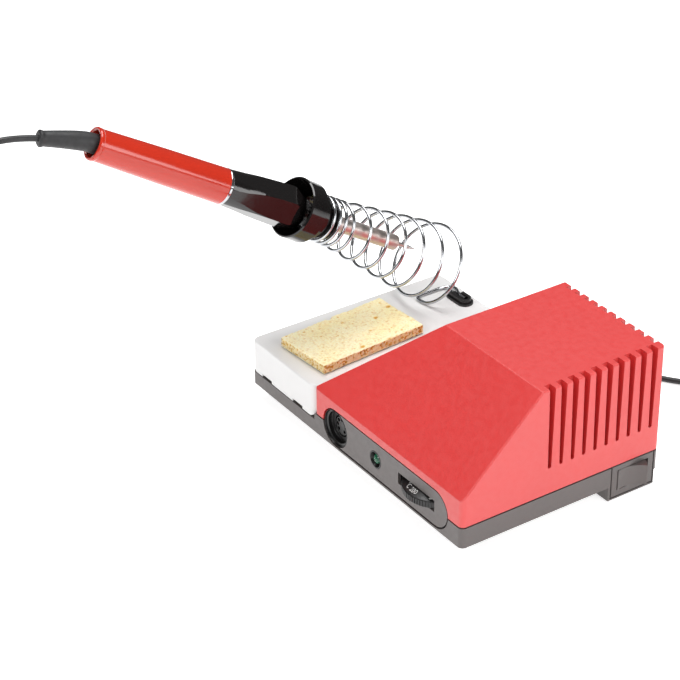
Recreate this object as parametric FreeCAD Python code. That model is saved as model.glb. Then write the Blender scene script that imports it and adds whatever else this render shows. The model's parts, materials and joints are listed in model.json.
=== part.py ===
import FreeCAD, Part
import os
from math import cos, pi, radians, sin, tan

V = FreeCAD.Vector
os.makedirs("parts", exist_ok=True)

# Frame: millimetres, +Z up, +X right and +Y back as the user faces the front panel.
# The origin is on the table, under the middle of the base's footprint.

# ---- driving dimensions: the case ----------------------------------------------------
WIDTH = 232.0
DEPTH = 153.0
FOOT_H = 11.0            # the base's lower edge stands this far above the table
SEAM_Z = 26.0            # joint between the base and the upper cover
TRAY_EDGE_Z = 21.0       # lower edge of the holder tray
DECK_Z = 44.6            # top of the holder tray, and of the cover's front wall
TOP_Z = 100.0
BREAK_Y = -18.4          # where the sloping front meets the flat top
COVER_X = -41.0          # left side of the cover at deck height
HIP_X = 19.4             # left edge of the flat top
WALL = 2.5
CORNER_R = 3.6
EDGE_R = 1.1             # rounding of the cover's upper edges
SEAM_GAP = 1.1           # shadow line between the cover and the base
LIP_IN = 4.4             # the lip behind the shadow line stands this far in from the outer faces
LIP_T = 1.0

RIGHT = WIDTH / 2
LEFT = -WIDTH / 2
BACK = DEPTH / 2
FRONT = -DEPTH / 2

VENTS = 10
VENT_SLIT_W = 1.0        # the narrow through-slit at the back of each groove
VENT_FOOT_Z = 44.0
VENT_FOOT_W = 2.7
VENT_TOP_W = 4.6
SIDE_VENT_Y = -11.2
SIDE_VENT_PITCH = 8.77
SIDE_VENT_DEPTH = 6.0
REAR_VENT_X = 27.2
REAR_VENT_PITCH = 8.84
REAR_VENT_DEPTH = 4.2

# ---- front panel ---------------------------------------------------------------------
PANEL_Z = 25.8
PANEL_R = 12.4
PANEL_X0 = -17.5         # centre of the round left end, and of the iron's socket
PANEL_X1 = 88.9          # centre of the round right end
PANEL_GAP = 1.2
PANEL_FACE = FRONT + 0.3
SOCKET_R = 13.1
LAMP_X = 26.6
LAMP_R = 6.1

# ---- temperature wheel ---------------------------------------------------------------
WHEEL_X = 69.6
WHEEL_Y = -60.0
WHEEL_R = 22.0
WHEEL_Z0 = 22.6
WHEEL_Z1 = 30.0
WHEEL_SLOT_W = 37.5
WHEEL_SLOT_H = 8.2
SHAFT_R = 3.0

# ---- mains switch --------------------------------------------------------------------
SWITCH_Y = 55.6
ROCKER_Z = 14.5
BEZEL_Z = 14.0
BEZEL_W = 33.0
BEZEL_H = 22.4
BEZEL_GAP = 0.8
BLOCK_X = 90.0
BLOCK_Y0 = 36.7
BLOCK_Y1 = 73.4
BLOCK_Z = 1.0
ROCKER_PIVOT_X = 111.0
ROCKER_HALF_Z = 7.0
ROCKER_TILT = 17.0
WELL_HALF_Y = 12.3
# The rocker's outline to one side of its pivot: (outwards from the pivot, along the wall).
ROCKER_SIDE = [(8.93, 9.72), (4.0, 11.0), (1.0, 11.0), (-3.0, 3.2)]
ROCKER_MIDDLE = 6.2      # the hollow of its face, outwards from the pivot

# ---- iron holder ---------------------------------------------------------------------
HOLDER_O = V(-97.3, -22.4, 121.0)    # on the coil's axis, at the first open turn
HOLDER_PITCH = 34.44                 # degrees below level, towards the back
MOUTH_S = -39.1                      # the funnel's mouth along that axis
WIRE_R = 1.15
LAST_TURN = 6.42

# ---- iron ----------------------------------------------------------------------------
IRON_O = V(-97.3, -42.8, 134.4)      # where the iron's axis crosses the holder's
IRON_DIR = V(-0.1426, -0.8584, 0.4928)
RING_S = 66.2
HANDLE_END_S = 160.7
BARREL_END_S = -72.3
TIP_S = -87.4
BARREL_R = 5.3
GRIP_FACETS = 6

# ---- cords ---------------------------------------------------------------------------
IRON_CORD_R = 2.05
MAINS_CORD_R = 2.0


# ---- helpers -------------------------------------------------------------------------
def save(name, *shapes):
    """Write one node: a single solid, or a group of separate solids."""
    solids = []
    for shape in shapes:
        solids += shape.Solids
    for solid in solids:
        if not solid.isValid():
            raise RuntimeError(name + " is not valid")
    out = solids[0] if len(solids) == 1 else Part.makeCompound(solids)
    out.exportStep("parts/" + name + ".step")
    volume = sum(solid.Volume for solid in solids)
    print(name, len(solids), "solid(s)", round(volume / 1000, 2), "cm3")


def box(x0, x1, y0, y1, z0, z1):
    return Part.makeBox(x1 - x0, y1 - y0, z1 - z0, V(x0, y0, z0))


def cyl(radius, start, direction, length):
    return Part.makeCylinder(radius, length, start, direction)


def prism(points, direction):
    """Extrude the closed polygon through points along direction."""
    return Part.Face(Part.makePolygon(points + [points[0]])).extrude(direction)


def upright_edges(shape, z0, z1):
    """The straight vertical edges of a box-like solid that span z0 to z1."""
    found = []
    for edge in shape.Edges:
        a = edge.Vertexes[0].Point
        b = edge.Vertexes[-1].Point
        plumb = abs(a.x - b.x) < 1e-6 and abs(a.y - b.y) < 1e-6
        if plumb and abs(min(a.z, b.z) - z0) < 0.01 and abs(max(a.z, b.z) - z1) < 0.01:
            found.append(edge)
    return found


def rounded_box(x0, x1, y0, y1, z0, z1, radius):
    shape = box(x0, x1, y0, y1, z0, z1)
    return shape.makeFillet(radius, upright_edges(shape, z0, z1))


def stadium(x0, x1, z, radius, y0, y1):
    """An upright slot shape in the front wall: round ends centred at x0 and x1."""
    shape = box(x0, x1, y0, y1, z - radius, z + radius)
    for x in (x0, x1):
        shape = shape.fuse(cyl(radius, V(x, y0, z), V(0, 1, 0), y1 - y0))
    return shape.removeSplitter()


def lathe(profile, origin, axis):
    """Turn (distance along axis, radius) points about the axis through origin."""
    side = axis.cross(V(1, 0, 0))
    if side.Length < 0.1:
        side = axis.cross(V(0, 1, 0))
    side.normalize()
    points = [origin + axis * s + side * r for s, r in profile]
    face = Part.Face(Part.makePolygon(points + [points[0]]))
    return face.revolve(origin, axis, 360)


def tube(points, radius, name):
    """A round cord along straight runs joined by tangent arcs."""
    runs = [points[i + 1] - points[i] for i in range(len(points) - 1)]
    edges = []
    start = points[0]
    tightest = None
    for i in range(1, len(points) - 1):
        before = runs[i - 1]
        after = runs[i]
        half = before.getAngle(after) / 2
        arc_r = 0.45 * min(before.Length, after.Length) / tan(half)
        back = arc_r * tan(half)
        u = V(before).normalize()
        w = V(after).normalize()
        a = points[i] - u * back
        b = points[i] + w * back
        inward = (w - u).normalize()
        centre = points[i] + inward * (arc_r / cos(half))
        middle = centre - inward * arc_r
        edges.append(Part.LineSegment(start, a).toShape())
        edges.append(Part.Arc(a, middle, b).toShape())
        start = b
        tightest = arc_r if tightest is None else min(tightest, arc_r)
    edges.append(Part.LineSegment(start, points[-1]).toShape())
    wire = Part.Wire(edges)
    disc = Part.Wire(Part.Circle(points[0], runs[0], radius).toShape())
    solid = Part.Solid(wire.makePipeShell([disc], True, True).Shells[0])
    expected = wire.Length * pi * radius ** 2
    print(name, "length", round(wire.Length, 1), "tightest arc", round(tightest, 1),
          "volume ratio", round(solid.Volume / expected, 4))
    return solid


def screw(head, direction, head_r, head_h, shank_r, length):
    """A screw whose head's underside is at the point head, pointing along direction."""
    back = direction * -head_h
    cap = cyl(head_r, head + back, direction, head_h)
    slot = cyl(head_r * 0.35, head + back, direction, head_h * 0.5)
    return cap.cut(slot).fuse(cyl(shank_r, head, direction, length)).removeSplitter()


UP = V(0, 0, 1)
DOWN = V(0, 0, -1)
BACKWARD = V(0, 1, 0)


# ---- outer shape of the cover --------------------------------------------------------
def slope_cutter(corner, run, inset, width):
    """The wedge of space above a sloping face that starts at corner and climbs along run."""
    across = V(0, 0, 1).cross(V(run.x, run.y, 0)).normalize()
    normal = run.cross(across).normalize()
    normal = normal if normal.z > 0 else normal * -1
    base = corner - normal * inset
    climb = V(run).normalize()
    far = V(run.x, run.y, 0).normalize() * -60
    outline = [base - climb * 64, base + climb * 160, corner + far + V(0, 0, 150)]
    outline = [point - across * width for point in outline]
    return prism(outline, across * (2 * width))


def cover_solid(inset, floor_z):
    """The cover as a full block, its sides moved in by inset."""
    body = rounded_box(COVER_X + inset, RIGHT - inset, FRONT + inset, BACK - inset,
                       floor_z, TOP_Z - inset, max(0.5, CORNER_R - inset))
    rise = TOP_Z - DECK_Z
    front = slope_cutter(V(0, FRONT, DECK_Z), V(0, BREAK_Y - FRONT, rise), inset, WIDTH)
    side = slope_cutter(V(COVER_X, 0, DECK_Z), V(HIP_X - COVER_X, 0, rise), inset, DEPTH)
    return body.cut(front).cut(side)


def soften(shape, radius):
    """Round the cover's upper edges: hip, slope break, top and the tops of the walls."""
    chosen = []
    for edge in shape.Edges:
        ends = [vertex.Point for vertex in edge.Vertexes]
        flat_low = all(abs(p.z - SEAM_Z) < 0.01 for p in ends)
        upright = len(ends) == 2 and abs(ends[0].x - ends[1].x) + abs(ends[0].y - ends[1].y) < 0.01
        if not flat_low and not upright and edge.CenterOfMass.z > DECK_Z - 5:
            chosen.append(edge)
    return shape.makeFillet(radius, chosen)


def vent(centre, along, out, depth):
    """One upright groove that widens upwards and runs out through the top edge."""
    foot = centre + UP * (VENT_FOOT_Z + VENT_FOOT_W / 2) - out * depth
    head = centre + UP * (TOP_Z + 1) - out * depth
    points = [foot - along * (VENT_FOOT_W / 2), foot + along * (VENT_FOOT_W / 2),
              head + along * (VENT_TOP_W / 2), head - along * (VENT_TOP_W / 2)]
    groove = prism(points, out * (depth + 4))
    return groove.fuse(cyl(VENT_FOOT_W / 2, foot, out, depth + 4))


PILLARS = [(-35.4, -58.0), (108.4, -66.0), (-33.0, 68.0), (70.0, 68.0)]
TRAY_PILLARS = [(-78.0, -62.0), (-70.0, 30.0)]
PILLAR_R = 3.8
PILOT_R = 1.5
SCREW_HOLE_R = 1.75
SCREW_HEAD_R = 3.3
SCREW_SEAT_Z = 15.0
LINER_Z0 = 40.0
SLIT_Z0 = VENT_FOOT_Z + 4
SLIT_Z1 = TOP_Z - 8

cover = soften(cover_solid(0, SEAM_Z), EDGE_R)
cover = cover.cut(cover_solid(WALL, SEAM_Z - 1))
side_liner = box(RIGHT - SIDE_VENT_DEPTH - 2, RIGHT - WALL + 0.1, -16.2, BACK - 3.8, LINER_Z0, TOP_Z - WALL)
rear_liner = box(22.2, RIGHT - 4.2, BACK - REAR_VENT_DEPTH - 1.8, BACK - WALL + 0.1, LINER_Z0, TOP_Z - WALL)
for liner in (side_liner, rear_liner):
    cover = cover.fuse(liner.common(cover_solid(1.0, SEAM_Z)))
for x, y in PILLARS:
    pillar = cyl(PILLAR_R, V(x, y, SEAM_Z), UP, TOP_Z).common(cover_solid(1.0, SEAM_Z))
    cover = cover.fuse(pillar)
for x, y in PILLARS:
    cover = cover.cut(cyl(PILOT_R, V(x, y, SEAM_Z - 1), UP, 13))
slots = []
for i in range(VENTS):
    side_y = SIDE_VENT_Y + i * SIDE_VENT_PITCH
    rear_x = REAR_VENT_X + i * REAR_VENT_PITCH
    slots.append(vent(V(RIGHT, side_y, 0), V(0, 1, 0), V(1, 0, 0), SIDE_VENT_DEPTH))
    slots.append(vent(V(rear_x, BACK, 0), V(1, 0, 0), V(0, 1, 0), REAR_VENT_DEPTH))
    slots.append(box(RIGHT - 10, RIGHT - 3, side_y - 0.15 - VENT_SLIT_W, side_y - 0.15, SLIT_Z0, SLIT_Z1))
    half_slit = VENT_SLIT_W / 2
    slots.append(box(rear_x - half_slit, rear_x + half_slit, BACK - 8, BACK - 2, SLIT_Z0, SLIT_Z1))
cover = cover.cut(Part.makeCompound(slots))
panel_opening = stadium(PANEL_X0, PANEL_X1, PANEL_Z, PANEL_R + PANEL_GAP, FRONT - 5, FRONT + WALL + 0.2)
cover = cover.cut(panel_opening)
save("top_cover", cover)

# ---- base ----------------------------------------------------------------------------
base_top = SEAM_Z - SEAM_GAP
base = rounded_box(LEFT, RIGHT, FRONT, BACK, FOOT_H, base_top, CORNER_R)
block = box(BLOCK_X, RIGHT, BLOCK_Y0, BLOCK_Y1, BLOCK_Z, base_top)
base = base.fuse(block).removeSplitter()
inner = rounded_box(LEFT + WALL, RIGHT - WALL, FRONT + WALL, BACK - WALL,
                    FOOT_H + WALL, SEAM_Z + 1, CORNER_R - WALL)
base = base.cut(inner)
base = base.cut(box(BLOCK_X + WALL, RIGHT - WALL, BLOCK_Y0 + WALL, BLOCK_Y1 - WALL,
                    BLOCK_Z + WALL - 0.6, SEAM_Z + 1))


def lip_ring(outer_gap, inner_gap, z0, z1):
    """An upright band that follows the walls, between two distances from their outer faces."""
    left = COVER_X + WALL
    band = rounded_box(left, RIGHT - outer_gap, FRONT + outer_gap, BACK - outer_gap, z0, z1,
                       max(0.5, CORNER_R - outer_gap))
    return band.cut(box(left - 1, RIGHT - inner_gap, FRONT + inner_gap, BACK - inner_gap, z0 - 1, z1 + 1))


CORD_EXIT_X = -15.0
CORD_EXIT_Z = 18.9
lip = lip_ring(WALL - 0.5, LIP_IN + LIP_T, SEAM_Z - 3, SEAM_Z - 2)
lip = lip.fuse(lip_ring(LIP_IN, LIP_IN + LIP_T, SEAM_Z - 3, SEAM_Z + 1.8))
for x, y in PILLARS:
    lip = lip.cut(cyl(PILLAR_R + 0.4, V(x, y, SEAM_Z - 2), UP, 9))
lip = lip.cut(box(PANEL_X0 - PANEL_R - 4, PANEL_X1 + PANEL_R + 4, FRONT - 1, FRONT + 6, 0, SEAM_Z + 9))
lip = lip.cut(box(CORD_EXIT_X - 7, CORD_EXIT_X + 7, BACK - 6, BACK + 1, 0, SEAM_Z + 9))
base = base.fuse(lip)
base = base.cut(box(RIGHT - WALL - 0.2, RIGHT + 1, SWITCH_Y - BEZEL_W / 2 - BEZEL_GAP,
                    SWITCH_Y + BEZEL_W / 2 + BEZEL_GAP, BEZEL_Z - BEZEL_H / 2 - BEZEL_GAP, SEAM_Z + 3))
base = base.cut(panel_opening)
base = base.cut(box(LEFT - 1, COVER_X - 0.3, FRONT - 1, BACK + 1, TRAY_EDGE_Z - 0.8, SEAM_Z + 3))
divider_x = COVER_X - 0.3
base = base.fuse(box(divider_x - WALL, divider_x, FRONT + WALL, BACK - WALL,
                     FOOT_H + WALL, TRAY_EDGE_Z - 0.8))
for x, y in PILLARS + TRAY_PILLARS:
    base = base.fuse(cyl(PILLAR_R, V(x, y, FOOT_H), UP, SEAM_Z - FOOT_H))
for x, y in PILLARS + TRAY_PILLARS:
    base = base.cut(cyl(SCREW_HOLE_R, V(x, y, FOOT_H - 1), UP, 30))
    base = base.cut(cyl(SCREW_HEAD_R, V(x, y, FOOT_H - 1), UP, SCREW_SEAT_Z - FOOT_H + 1))
base = base.cut(cyl(4.2, V(CORD_EXIT_X, BACK - 6, CORD_EXIT_Z), BACKWARD, 10))

TRANS_X = 62.0
TRANS_Y = 8.0
BRACKET_BOSSES = [(TRANS_X + sx * 44.2, TRANS_Y + sy * 9.0) for sx in (-1, 1) for sy in (-1, 1)]
BOSS_TOP = FOOT_H + WALL + 6.0
for x, y in BRACKET_BOSSES:
    base = base.fuse(cyl(3.6, V(x, y, FOOT_H), UP, BOSS_TOP - FOOT_H))
for x, y in BRACKET_BOSSES:
    base = base.cut(cyl(PILOT_R, V(x, y, FOOT_H + WALL), UP, 20))
BOARD_Z = FOOT_H + WALL + 2.0
BOARD_T = 1.6
BOARD = (-28.0, 104.0, -56.0, -26.0)
BOARD_STUDS = [(-22.0, -31.0), (98.0, -31.0), (98.0, -51.0), (20.0, -51.0)]
for x, y in BOARD_STUDS:
    base = base.fuse(cyl(3.0, V(x, y, FOOT_H), UP, BOARD_Z - FOOT_H))
for x, y in BOARD_STUDS:
    base = base.cut(cyl(1.1, V(x, y, FOOT_H + 1.2), UP, 10))
save("base_shell", base.removeSplitter())

# ---- holder tray ---------------------------------------------------------------------
tray_x1 = COVER_X - 0.3
tray = rounded_box(LEFT, tray_x1, FRONT, BACK, TRAY_EDGE_Z, DECK_Z, 5.0)
tray = tray.cut(rounded_box(LEFT + 2.2, tray_x1 - 2.2, FRONT + 2.2, BACK - 2.2,
                            TRAY_EDGE_Z - 1, DECK_Z - 2.4, 2.8))
for x in (LEFT, tray_x1):
    away = 1 if x == LEFT else -1
    corner = box(min(x, x + away * 6), max(x, x + away * 6), FRONT - 1, FRONT + 8,
                 TRAY_EDGE_Z - 1, TRAY_EDGE_Z + 6)
    corner = corner.cut(cyl(6, V(x + away * 6, FRONT - 2, TRAY_EDGE_Z + 6), BACKWARD, 12))
    tray = tray.cut(corner)
for x0 in (-103.6, -66.9):
    tray = tray.cut(box(x0, x0 + 11.6, FRONT - 1, FRONT + 6, TRAY_EDGE_Z - 1, TRAY_EDGE_Z + 1.9))
top_edges = [e for e in tray.Edges if all(abs(v.Point.z - DECK_Z) < 0.01 for v in e.Vertexes)]
tray = tray.makeFillet(1.2, top_edges)
for x, y in TRAY_PILLARS:
    tray = tray.fuse(cyl(PILLAR_R, V(x, y, SEAM_Z), UP, DECK_Z - 2 - SEAM_Z))
for x, y in TRAY_PILLARS:
    tray = tray.cut(cyl(PILOT_R, V(x, y, SEAM_Z - 1), UP, 13))
CLIP_X = -78.5
CLIP_Y = 66.5
for dx in (-5.0, 5.0):
    tray = tray.cut(cyl(1.65, V(CLIP_X + dx, CLIP_Y, DECK_Z - 5), UP, 8))
save("holder_tray", tray.removeSplitter())

# ---- feet and case screws ------------------------------------------------------------
FEET = [(-98, -60), (98, -60), (-98, 60), (79, 57)]
save("rubber_feet", *[Part.makeCone(6.0, 7.0, FOOT_H, V(x, y, 0), UP) for x, y in FEET])
case_screws = []
for x, y in PILLARS + TRAY_PILLARS:
    case_screws.append(screw(V(x, y, SCREW_SEAT_Z), UP, 3.0, 2.0, 1.45, 20))
save("case_screws", *case_screws)

# ---- front panel ---------------------------------------------------------------------
SKIRT_Y = FRONT + WALL + 3.0
panel = stadium(PANEL_X0, PANEL_X1, PANEL_Z, PANEL_R, PANEL_FACE, FRONT + WALL)
skirt = stadium(PANEL_X0, PANEL_X1, PANEL_Z, PANEL_R, FRONT + WALL, SKIRT_Y + 1.2)
skirt = skirt.fuse(stadium(PANEL_X0, PANEL_X1, PANEL_Z, PANEL_R + 2.4, SKIRT_Y, SKIRT_Y + 1.2))
skirt = skirt.cut(stadium(PANEL_X0, PANEL_X1, PANEL_Z, PANEL_R - 1.5, FRONT, SKIRT_Y + 5))
skirt = skirt.cut(box(-60, 120, FRONT, FRONT + 10, 0, FOOT_H + WALL + 0.1))
panel = panel.fuse(skirt)
panel = panel.cut(cyl(SOCKET_R + 0.1, V(PANEL_X0, FRONT - 2, PANEL_Z), BACKWARD, 20))
panel = panel.cut(box(-60, PANEL_X0, FRONT - 2, FRONT + 10, 0, 60))
panel = panel.cut(cyl(LAMP_R, V(LAMP_X, FRONT - 2, PANEL_Z + 0.4), BACKWARD, 20))
slot_z = (WHEEL_Z0 + WHEEL_Z1) / 2
panel = panel.cut(box(WHEEL_X - WHEEL_SLOT_W / 2, WHEEL_X + WHEEL_SLOT_W / 2, FRONT - 2, FRONT + 8,
                      slot_z - WHEEL_SLOT_H / 2, slot_z + WHEEL_SLOT_H / 2))
save("front_panel", panel.removeSplitter())

# ---- socket for the iron's plug ------------------------------------------------------
socket_profile = [(0, 12.3), (0.5, SOCKET_R - 0.2), (1.0, SOCKET_R), (2.4, SOCKET_R), (2.4, 12.1),
                  (19.0, 12.1), (19.0, 0), (4.8, 0), (4.8, 6.2), (5.0, 6.35), (12.0, 6.35), (12.0, 7.45),
                  (5.0, 7.45), (4.8, 7.6), (4.8, 10.7), (4.6, 10.9), (2.0, 10.9), (1.4, 11.9), (0.6, 12.1)]
socket = lathe(socket_profile, V(PANEL_X0, PANEL_FACE, PANEL_Z), BACKWARD)
PIN_CIRCLE_R = 4.4
PIN_ANGLES = (0, 45, 90, 135, 180, 225, 315)
PIN_SPOTS = [(PIN_CIRCLE_R * cos(radians(a)), PIN_CIRCLE_R * sin(radians(a))) for a in PIN_ANGLES]
for px, pz in PIN_SPOTS:
    socket = socket.cut(cyl(1.25, V(PANEL_X0 + px, PANEL_FACE, PANEL_Z + pz), BACKWARD, 30))
keyway = box(PANEL_X0 - 1.4, PANEL_X0 + 1.4, PANEL_FACE + 4, PANEL_FACE + 9, PANEL_Z + 7.2, PANEL_Z + 8.8)
socket = socket.cut(keyway)
save("socket_housing", socket)
contacts = []
for px, pz in PIN_SPOTS:
    at = V(PANEL_X0 + px, PANEL_FACE + 9.5, PANEL_Z + pz)
    sleeve = cyl(1.2, at, BACKWARD, 9.5).cut(cyl(0.7, at, BACKWARD, 7))
    contacts.append(sleeve.fuse(cyl(0.5, at + V(0, 9.5, 0), BACKWARD, 4.5)).removeSplitter())
save("socket_contacts", *contacts)

# ---- pilot lamp ----------------------------------------------------------------------
lamp_at = V(LAMP_X, PANEL_FACE, PANEL_Z + 0.4)
LENS_R = 3.7
holder_profile = [(-0.2, 5.2), (-0.2, 5.7), (0.2, LAMP_R - 0.05), (9.5, LAMP_R - 0.05), (9.5, LENS_R + 0.1),
                  (3.2, LENS_R + 0.1)]
save("lamp_bezel", lathe(holder_profile, lamp_at, BACKWARD))
lens_at = lamp_at + V(0, 3.4, 0)
lens = cyl(LENS_R, lens_at, BACKWARD, 6.7).fuse(Part.makeSphere(LENS_R, lens_at)).removeSplitter()
lens = lens.fuse(cyl(LENS_R + 0.7, lamp_at + V(0, 9.6, 0), BACKWARD, 1.0)).removeSplitter()
save("lamp_lens", lens)
leads = [cyl(0.3, lamp_at + V(dx, 10.6, 0), BACKWARD, 6) for dx in (-1.27, 1.27)]
save("lamp_leads", *leads)

# ---- temperature wheel and its potentiometer -----------------------------------------
wheel_o = V(WHEEL_X, WHEEL_Y, WHEEL_Z0)
wheel_h = WHEEL_Z1 - WHEEL_Z0
wheel_profile = [(0, SHAFT_R + 0.03), (0, WHEEL_R - 0.5), (0.5, WHEEL_R), (4.2, WHEEL_R),
                 (4.7, WHEEL_R - 0.6), (wheel_h, 15.0), (wheel_h, SHAFT_R + 0.03)]
wheel = lathe(wheel_profile, wheel_o, UP)
GRIPS = 72
notch = box(WHEEL_R - 0.55, WHEEL_R + 1, -0.45, 0.45, -0.5, 4.5)
cutters = []
for i in range(GRIPS):
    tooth = notch.copy()
    tooth.rotate(V(0, 0, 0), UP, i * 360.0 / GRIPS)
    tooth.translate(wheel_o)
    cutters.append(tooth)
wheel = wheel.cut(Part.makeCompound(cutters))
save("temperature_wheel", wheel)
POT_Z0 = BOARD_Z + BOARD_T
POT_H = 4.8
pot = box(WHEEL_X - 8.5, WHEEL_X + 8.5, WHEEL_Y - 8.5, WHEEL_Y + 8.5, POT_Z0, POT_Z0 + POT_H)
pot = pot.cut(cyl(SHAFT_R + 0.05, V(WHEEL_X, WHEEL_Y, POT_Z0 + 1.0), UP, 10))
save("potentiometer", pot)
shaft_z = POT_Z0 + 1.1
save("potentiometer_shaft", cyl(SHAFT_R, V(WHEEL_X, WHEEL_Y, shaft_z), UP, WHEEL_Z1 - 0.4 - shaft_z))

# ---- control board -------------------------------------------------------------------
board = box(BOARD[0], BOARD[1], BOARD[2], BOARD[3], BOARD_Z, BOARD_Z + BOARD_T)
board = board.fuse(box(WHEEL_X - 12, WHEEL_X + 12, -71.5, BOARD[2], BOARD_Z, BOARD_Z + BOARD_T))
for x, y in BOARD_STUDS:
    board = board.cut(cyl(1.4, V(x, y, BOARD_Z - 1), UP, 5))
save("control_board", board.removeSplitter())
board_top = BOARD_Z + BOARD_T
board_screws = [screw(V(x, y, board_top), DOWN, 2.2, 1.4, 1.05, 4.8) for x, y in BOARD_STUDS]
save("board_screws", *board_screws)
caps = []
for x, y, r, h in ((0.0, -40.0, 6.3, 16.0), (39.0, -36.0, 5.0, 12.5), (52.0, -32.0, 4.0, 11.0)):
    caps.append(cyl(r, V(x, y, board_top), UP, h))
save("capacitors", *caps)
sink = box(72, 94, -33.5, -31.9, board_top, board_top + 28)
for i in range(5):
    x = 72.8 + i * 4.6
    sink = sink.fuse(box(x, x + 1.4, -37, -33.5, board_top + 6, board_top + 28))
save("heat_sink", sink.removeSplitter())
triac = box(78, 88, -31.9, -27.4, board_top + 4.5, board_top + 19.5)
for dx in (-2.54, 0, 2.54):
    triac = triac.fuse(box(83 + dx - 0.4, 83 + dx + 0.4, -29.9, -29.4, board_top, board_top + 5))
save("power_triac", triac.removeSplitter())
chips = [box(12, 26, -46, -39.5, board_top, board_top + 3.4),
         box(-14, -7, -35, -29, board_top, board_top + 4.0)]
for i in range(6):
    chips.append(cyl(1.15, V(8 + i * 4.6, -33.2, board_top + 1.15), V(0, 1, 0), 6.3))
save("board_parts", *chips)
fuse_x = -24.0
clips = []
for x in (fuse_x + 14, fuse_x + 33):
    clip = box(x, x + 5, -52.5, -46.5, board_top, board_top + 6)
    clips.append(clip.cut(cyl(2.65, V(x - 1, -49.5, board_top + 4.2), V(1, 0, 0), 8)))
save("fuse_clips", *clips)
save("fuse", cyl(2.6, V(fuse_x + 15, -49.5, board_top + 4.2), V(1, 0, 0), 22))

# ---- mains transformer ---------------------------------------------------------------
CORE_W = 78.0
CORE_H = 65.0
STACK = 33.0
LIMB = 13.0
core_z = FOOT_H + WALL
x0 = TRANS_X - CORE_W / 2
y0 = TRANS_Y - STACK / 2
core = box(x0, x0 + CORE_W, y0, y0 + STACK, core_z, core_z + CORE_H)
for x in (x0 + LIMB, x0 + CORE_W - 2 * LIMB):
    core = core.cut(box(x, x + LIMB, y0 - 1, y0 + STACK + 1, core_z + LIMB, core_z + CORE_H - LIMB))
save("transformer_core", core)
win0 = core_z + LIMB
win1 = core_z + CORE_H - LIMB


def sleeve_box(half_x, half_y, z0, z1):
    return box(TRANS_X - half_x, TRANS_X + half_x, TRANS_Y - half_y, TRANS_Y + half_y, z0, z1)


hx = LIMB
hy = STACK / 2
bobbin = sleeve_box(hx + 1.4, hy + 1.4, win0 + 0.2, win1 - 0.2)
for z in (win0 + 0.2, win1 - 1.8):
    bobbin = bobbin.fuse(sleeve_box(hx + LIMB - 0.6, hy + 12.5, z, z + 1.6))
bobbin = bobbin.cut(sleeve_box(hx + 0.1, hy + 0.1, win0 - 1, win1 + 1))
save("transformer_bobbin", bobbin.removeSplitter())
winding = sleeve_box(hx + LIMB - 1.6, hy + 11.4, win0 + 1.9, win1 - 1.9)
edges = upright_edges(winding, win0 + 1.9, win1 - 1.9)
winding = winding.makeFillet(6.0, edges)
winding = winding.cut(sleeve_box(hx + 1.45, hy + 1.45, win0, win1))
save("transformer_winding", winding)
strap_y0 = TRANS_Y - 14
strap_y1 = TRANS_Y + 14
strap_top = core_z + CORE_H
strap = box(x0 - 1.2, x0 + CORE_W + 1.2, strap_y0, strap_y1, BOSS_TOP, strap_top + 1.2)
strap = strap.cut(box(x0, x0 + CORE_W, strap_y0 - 1, strap_y1 + 1, BOSS_TOP - 1, strap_top))
for sign in (-1, 1):
    edge_x = TRANS_X + sign * (CORE_W / 2 + 1.2)
    far_x = TRANS_X + sign * 49.0
    strap = strap.fuse(box(min(edge_x, far_x), max(edge_x, far_x), strap_y0, strap_y1,
                           BOSS_TOP, BOSS_TOP + 1.2))
for x, y in BRACKET_BOSSES:
    strap = strap.cut(cyl(1.8, V(x, y, BOSS_TOP - 1), UP, 4))
save("transformer_strap", strap.removeSplitter())
strap_screws = [screw(V(x, y, BOSS_TOP + 1.2), DOWN, 2.8, 1.8, 1.45, 6.5) for x, y in BRACKET_BOSSES]
save("strap_screws", *strap_screws)

# ---- mains switch --------------------------------------------------------------------
switch_face = RIGHT + 0.2
housing = box(RIGHT - 2.3, switch_face, SWITCH_Y - BEZEL_W / 2, SWITCH_Y + BEZEL_W / 2,
              BEZEL_Z - BEZEL_H / 2, BEZEL_Z + BEZEL_H / 2)
rim = [e for e in housing.Edges if all(abs(v.Point.x - switch_face) < 0.01 for v in e.Vertexes)]
housing = housing.makeFillet(0.5, rim)
housing = housing.fuse(box(100.0, RIGHT - 2.3, SWITCH_Y - 13.7, SWITCH_Y + 13.7, 5.4, 22.6))
well_z = ROCKER_HALF_Z + 0.35
housing = housing.cut(box(105.0, RIGHT + 1, SWITCH_Y - WELL_HALF_Y, SWITCH_Y + WELL_HALF_Y,
                          ROCKER_Z - well_z, ROCKER_Z + well_z))
ROCKER_PIN_R = 1.2
for side in (-1, 1):
    pin_root = V(ROCKER_PIVOT_X, SWITCH_Y, ROCKER_Z + side * well_z)
    housing = housing.cut(cyl(ROCKER_PIN_R + 0.06, pin_root, UP * side, 1.0))
save("switch_housing", housing.removeSplitter())
rocker_z0 = ROCKER_Z - ROCKER_HALF_Z
pivot = V(ROCKER_PIVOT_X, SWITCH_Y, rocker_z0)
corners = [pivot + V(out, along, 0) for out, along in ROCKER_SIDE]
corners += [pivot + V(out, -along, 0) for out, along in reversed(ROCKER_SIDE)]
outline = [Part.LineSegment(a, b).toShape() for a, b in zip(corners, corners[1:])]
outline.append(Part.Arc(corners[-1], pivot + V(ROCKER_MIDDLE, 0, 0), corners[0]).toShape())
rocker = Part.Face(Part.Wire(outline)).extrude(UP * (2 * ROCKER_HALF_Z))
rocker = rocker.fuse(cyl(ROCKER_PIN_R, pivot - UP * 0.9, UP, 2 * ROCKER_HALF_Z + 1.8)).removeSplitter()
rocker.rotate(pivot, DOWN, ROCKER_TILT)
save("switch_rocker", rocker)
blades = []
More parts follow.
